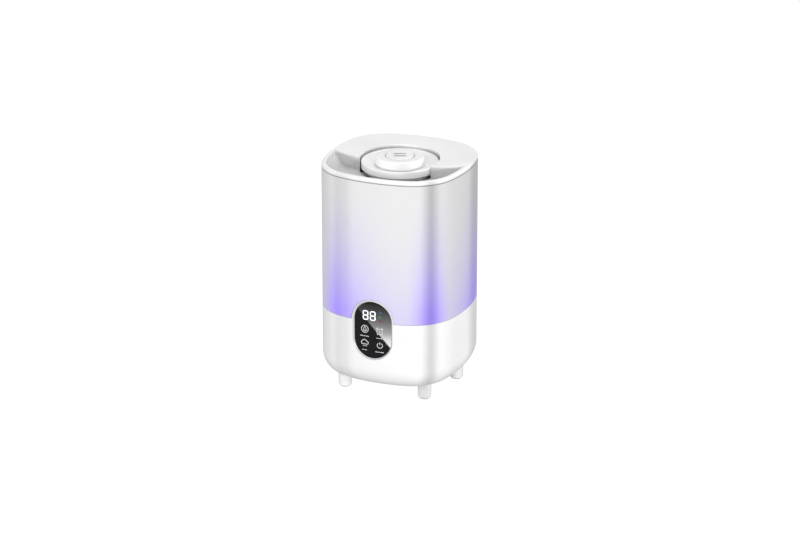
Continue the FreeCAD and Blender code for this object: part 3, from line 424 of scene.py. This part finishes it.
def stroke(points, width, closed=False):
    """Quads along a line of points, mitred, so that they read as one drawn stroke."""
    count = len(points)
    sides = []
    for index, (x, y) in enumerate(points):
        before = points[index - 1] if index or closed else None
        after = points[(index + 1) % count] if index < count - 1 or closed else None
        ways = []
        if before:
            ways.append(Vector((x - before[0], y - before[1])).normalized())
        if after:
            ways.append(Vector((after[0] - x, after[1] - y)).normalized())
        way = sum(ways, Vector((0, 0))).normalized()
        across = Vector((-way.y, way.x))
        reach = width / 2 / max(0.35, abs(across.dot(Vector((-ways[0].y, ways[0].x)))))
        dx, dy = across.x * reach, across.y * reach
        sides.append(((x + dx, y + dy), (x - dx, y - dy)))
    following = sides[1:] + sides[:1] if closed else sides[1:]
    return [[near[0], far[0], far[1], near[1]] for near, far in zip(sides, following)]


def arc(cx, cy, radius, start, end, steps=20):
    """Points along an arc, in degrees counted from +X towards up."""
    turns = [math.radians(start + (end - start) * i / steps) for i in range(steps + 1)]
    return [(cx + radius * math.cos(turn), cy + radius * math.sin(turn)) for turn in turns]


def digit(wide, tall, thick):
    """A seven-segment 8 about 0, 0: seven separate hexagons."""
    half_w, half_t, half_s = wide / 2 - thick / 2, tall / 2 - thick / 2, thick / 2
    gap = thick * 0.16
    shapes = []
    left, right = gap - half_w, half_w - gap
    for y in (-half_t, 0, half_t):
        shapes.append(
            [
                (left, y),
                (left + half_s, y + half_s),
                (right - half_s, y + half_s),
                (right, y),
                (right - half_s, y - half_s),
                (left + half_s, y - half_s),
            ]
        )
    for x in (-half_w, half_w):
        for low, high in ((-half_t, 0), (0, half_t)):
            bottom, top = low + gap, high - gap
            shapes.append(
                [
                    (x, bottom),
                    (x + half_s, bottom + half_s),
                    (x + half_s, top - half_s),
                    (x, top),
                    (x - half_s, top - half_s),
                    (x - half_s, bottom + half_s),
                ]
            )
    return shapes


def scaled(shapes, cx, cy):
    """Shapes drawn in millimetres about 0, 0, moved to cx, cy and turned to metres."""
    return [[((x + cx) * MM, (y + cy) * MM) for x, y in ring] for ring in shapes]


def drop_sign():
    """Humidity: a ring with a drop and one level mark in it."""
    drop = [(0.0, 3.0), *arc(0, -0.7, 1.9, 35, -215, 22)]
    shapes = stroke(arc(0, 0, 4.3, 0, 351, 39), 0.75, closed=True)
    shapes += stroke(drop, 0.6, closed=True)
    return shapes + stroke([(-0.9, -1.0), (0.9, -1.0)], 0.5)


def clock_sign():
    """Timer: a round clock with two bells and two hands."""
    shapes = stroke(arc(0, -0.4, 3.5, 0, 351, 39), 0.75, closed=True)
    shapes += stroke([(0, 1.6), (0, -0.5), (1.6, -0.5)], 0.6)
    for side in (-1, 1):
        shapes += stroke([(side * 1.9, 4.4), (side * 4.2, 2.3)], 0.9)
        shapes += stroke([(side * 2.2, -3.4), (side * 3.2, -4.6)], 0.7)
    return shapes


def mist_sign():
    """Mist: a cloud with three short wisps below it."""
    cloud = arc(-2.6, 0.1, 1.9, 235, 110, 9)
    cloud += arc(-0.4, 1.6, 2.5, 150, 25, 11)
    cloud += arc(2.4, 0.2, 2.0, 80, -60, 10)
    shapes = stroke(cloud, 0.75, closed=True)
    for x in (-2.0, 0.0, 2.0):
        shapes += stroke([(x, -2.8), (x + 0.4, -3.5), (x - 0.2, -4.3)], 0.55)
    return shapes


def power_sign():
    shapes = stroke(arc(0, -0.3, 3.2, 125, 415, 36), 0.7)
    return shapes + stroke([(0, 0.5), (0, 3.9)], 0.7)


def caption_bar(wide):
    """A row of short plain dashes where a key's caption would be."""
    shapes = []
    x = -wide / 2
    for share in (0.34, 0.24, 0.42):
        shapes += stroke([(x, 0), (x + wide * share - 0.7, 0)], 0.75)
        x += wide * share
    return shapes


white_lit = lit("lit_white", (0.9, 0.93, 1.0), 0.7)
key_white = lit("key_white", (0.6, 0.62, 0.64), 0.3)
for side, x in (("left", -8.5), ("right", 0.5)):
    sign("digit_" + side, scaled(digit(7.0, 11.6, 1.25), x, 17.65), white_lit)
# each key's sign, its place across and up from the panel's middle, and its caption's width, in mm
KEYS = {
    "humidity": (drop_sign, -9.5, 0.4, 11.6),
    "timer": (clock_sign, 9.0, -0.2, 8.0),
    "mist": (mist_sign, -9.6, -16.7, 6.4),
    "power": (power_sign, 9.1, -17.3, 11.0),
}
for key, (draw, x, up, wide) in KEYS.items():
    sign("key_" + key, scaled(draw(), x, up), key_white)
    sign("caption_" + key, scaled(caption_bar(wide), x, up - 8.6), key_white)
# each coloured mark's height over the panel's middle in mm, and its colour
MARKS = {
    "low": (23.0, (0.04, 0.12, 0.2)),
    "middle": (17.4, (0.05, 0.2, 0.08)),
    "high": (11.9, (0.2, 0.04, 0.06)),
}
for mark, (up, colour) in MARKS.items():
    wave = stroke([(-1.6, 0.5), (-0.5, 1.0), (0.5, 0.2), (1.6, 0.7)], 0.6)
    wave += stroke([(-1.6, -0.8), (-0.5, -0.3), (0.5, -1.1), (1.6, -0.6)], 0.6)
    sign("mark_" + mark, scaled(wave, 9.6, up), lit("lit_" + mark, colour, 0.6))


# ---- studio ----

AZIMUTH, ELEVATION = 22.3, 20.58  # of the camera, in degrees
LIT_MIDDLE = Vector((0, 0, 0.15))  # what the lights look at


def direction(azimuth, elevation):
    """Points from the object towards azimuth (0 is in front, + towards +X) and elevation."""
    a, e = math.radians(azimuth), math.radians(elevation)
    return Vector((math.sin(a) * math.cos(e), -math.cos(a) * math.cos(e), math.sin(e)))


def camera_at(azimuth, elevation, distance, target, lens):
    data = bpy.data.cameras.new("camera")
    data.lens = lens
    data.sensor_width = 36
    camera = bpy.data.objects.new("camera", data)
    way = direction(azimuth, elevation)
    camera.location = Vector(target) + way * distance
    camera.rotation_euler = (-way).to_track_quat("-Z", "Y").to_euler()
    bpy.context.collection.objects.link(camera)
    bpy.context.scene.camera = camera


def area_light(name, azimuth, elevation, distance, wide, tall, power, lights_only=None):
    """A soft panel that looks at the object's middle; lights_only is a collection, or None for all."""
    data = bpy.data.lights.new(name, "AREA")
    data.shape = "RECTANGLE"
    data.size, data.size_y = wide, tall
    data.energy = power
    light = bpy.data.objects.new(name, data)
    way = direction(azimuth, elevation)
    light.location = LIT_MIDDLE + way * distance
    light.rotation_euler = (-way).to_track_quat("-Z", "Y").to_euler()
    light.visible_camera = False
    bpy.context.collection.objects.link(light)
    if lights_only:
        light.light_linking.receiver_collection = lights_only


def stage_material(name, colour, seen, cast):
    """Paper lit from behind: it shows at the strength seen and lights the object at cast."""
    mat, tree, shader = new_material(name)
    varied(tree, shader, colour, 0.01, 3)
    shader.inputs["Roughness"].default_value = 1.0
    shader.inputs["Specular IOR Level"].default_value = 0.0
    shader.inputs["Emission Color"].default_value = (1, 1, 1, 1)
    ray = tree.nodes.new("ShaderNodeLightPath")
    strength = maths(tree, "MULTIPLY", ray.outputs["Is Camera Ray"], seen - cast)
    link(tree, maths(tree, "ADD", strength, cast), shader.inputs["Emission Strength"])
    return mat


def sun(name, azimuth, elevation, strength, spread):
    data = bpy.data.lights.new(name, "SUN")
    data.energy = strength
    data.angle = math.radians(spread)
    light = bpy.data.objects.new(name, data)
    light.rotation_euler = (-direction(azimuth, elevation)).to_track_quat("-Z", "Y").to_euler()
    bpy.context.collection.objects.link(light)


FLAG_LOW, FLAG_HIGH = -0.1, 0.45


def flag(name, azimuth, across, distance, wide):
    """A narrow upright card that only casts a shadow: it stands distance away towards azimuth,
    and across to the right of the middle as seen from there."""
    way = direction(azimuth, 0)
    side = Vector((-way.y, way.x, 0))
    foot = way * distance + side * across
    mesh = bmesh.new()
    left, right = foot - side * wide / 2, foot + side * wide / 2
    ring = ((left, FLAG_LOW), (right, FLAG_LOW), (right, FLAG_HIGH), (left, FLAG_HIGH))
    mesh.faces.new([mesh.verts.new(corner + Vector((0, 0, z))) for corner, z in ring])
    data = bpy.data.meshes.new(name)
    mesh.to_mesh(data)
    mesh.free()
    card = bpy.data.objects.new(name, data)
    card.visible_camera = card.visible_diffuse = card.visible_glossy = False
    card.visible_transmission = card.visible_volume_scatter = False
    data.materials.append(new_material(name)[0])
    bpy.context.collection.objects.link(card)


# the card's strength where the glass mirrors it at these heights, in mm
SHINE = ((120, 1.0), (111, 2.5), (99, 6.7), (84, 17.0), (76, 34.0), (66, 42.0))
SHINE_COLUMNS = (0, 14, 30, 46)  # mm to the right of its diagonal edge
SHINE_DISTANCE = 0.15


def panel_shine():
    """A lit card that only the panel's glass mirrors: its lower left edge falls across the glass as a
    diagonal, and it grows brighter downwards."""
    to_camera = direction(AZIMUTH, ELEVATION)
    middle = on_glass(0, 0)
    normal = Vector((0, -1, 0))
    gaze = normal * (2 * normal.dot(to_camera)) - to_camera
    plane = middle + gaze * SHINE_DISTANCE

    def mirrored(x, z):
        """Where the card must be for the camera to see it in the glass at x, z in millimetres."""
        point = on_glass(x * MM, z * MM - middle_z)
        out = Vector((point.x, point.y - ARC_CENTRE, 0)).normalized()
        way = out * (2 * out.dot(to_camera)) - to_camera
        return point + way * ((plane - point).dot(gaze) / way.dot(gaze))

    mesh = bmesh.new()
    rows = []
    for z, _ in SHINE:
        edge = 21.4 - (z - 66.2) * 0.889  # the diagonal across the glass
        rows.append([mesh.verts.new(mirrored(edge + x, z)) for x in SHINE_COLUMNS])
    for upper, lower in zip(rows, rows[1:]):
        for i in range(len(SHINE_COLUMNS) - 1):
            mesh.faces.new((upper[i], upper[i + 1], lower[i + 1], lower[i]))
    data = bpy.data.meshes.new("panel_shine")
    mesh.to_mesh(data)
    mesh.free()
    strength = data.attributes.new("strength", "FLOAT", "POINT")
    values = [bright for _, bright in SHINE for _ in SHINE_COLUMNS]
    for point, bright in zip(strength.data, values):
        point.value = bright
    card = bpy.data.objects.new("panel_shine", data)
    card.visible_camera = card.visible_diffuse = card.visible_shadow = False
    card.visible_transmission = card.visible_volume_scatter = False
    mat, tree, shader = new_material("panel_shine")
    value = tree.nodes.new("ShaderNodeAttribute")
    value.attribute_name = "strength"
    link(tree, value.outputs["Fac"], shader.inputs["Emission Strength"])
    shader.inputs["Emission Color"].default_value = (1, 1, 1, 1)
    shader.inputs["Base Color"].default_value = (0, 0, 0, 1)
    data.materials.append(mat)
    bpy.context.collection.objects.link(card)
    mirrors = bpy.data.collections.new("panel_shine_mirrors")
    mirrors.objects.link(NODES["panel_glass"])
    card.light_linking.receiver_collection = mirrors


def floor_and_backdrop():
    """A wide pale sheet that curves up behind, as in a studio."""
    mesh = bmesh.new()
    profile = [(-3.0, 0.0)]
    for step in range(11):
        turn = math.pi / 2 * step / 10
        profile.append((2.5 + 1.2 * math.sin(turn), 1.2 - 1.2 * math.cos(turn)))
    profile.append((3.7, 4.0))
    rows = [[mesh.verts.new((x, y, z)) for x in (-5.0, 5.0)] for y, z in profile]
    for near, far in zip(rows, rows[1:]):
        face = mesh.faces.new((near[0], near[1], far[1], far[0]))
        face.smooth = True
    data = bpy.data.meshes.new("floor")
    mesh.to_mesh(data)
    mesh.free()
    floor = bpy.data.objects.new("floor", data)
    data.materials.append(stage_material("paper", (0.12, 0.12, 0.12), 0.95, 0.4))
    bpy.context.collection.objects.link(floor)


camera_at(AZIMUTH, ELEVATION, 3.797, (0, 0, 0.1387), 146.8)
floor_and_backdrop()

world = bpy.data.worlds.new("studio")
world.use_nodes = True
world.node_tree.nodes["Background"].inputs["Color"].default_value = (1, 1, 1, 1)
world.node_tree.nodes["Background"].inputs["Strength"].default_value = 0.52
bpy.context.scene.world = world
bpy.context.scene.view_settings.view_transform = "Standard"

area_light("key", 5, 30, 2.6, 1.4, 1.4, 17)
area_light("top", 175, 65, 2.4, 1.6, 1.6, 24)
beside_tank = bpy.data.collections.new("beside_tank")
for node_name, obj in NODES.items():
    if node_name != "tank_shell":
        beside_tank.objects.link(obj)
area_light("right_fill", 78, 10, 2.2, 1.0, 1.2, 15, beside_tank)
area_light("left_fill", -70, 10, 2.2, 1.0, 1.2, 5, beside_tank)
sun("right_sun", 50, 8, 1.2, 7)
sun("left_sun", -45, 8, 0.55, 5)
flag("right_flag", 50, -0.009, 0.2, 0.014)
flag("edge_flag", 50, 0.076, 0.2, 0.03)
flag("left_flag", -45, 0.029, 0.2, 0.018)
panel_shine()
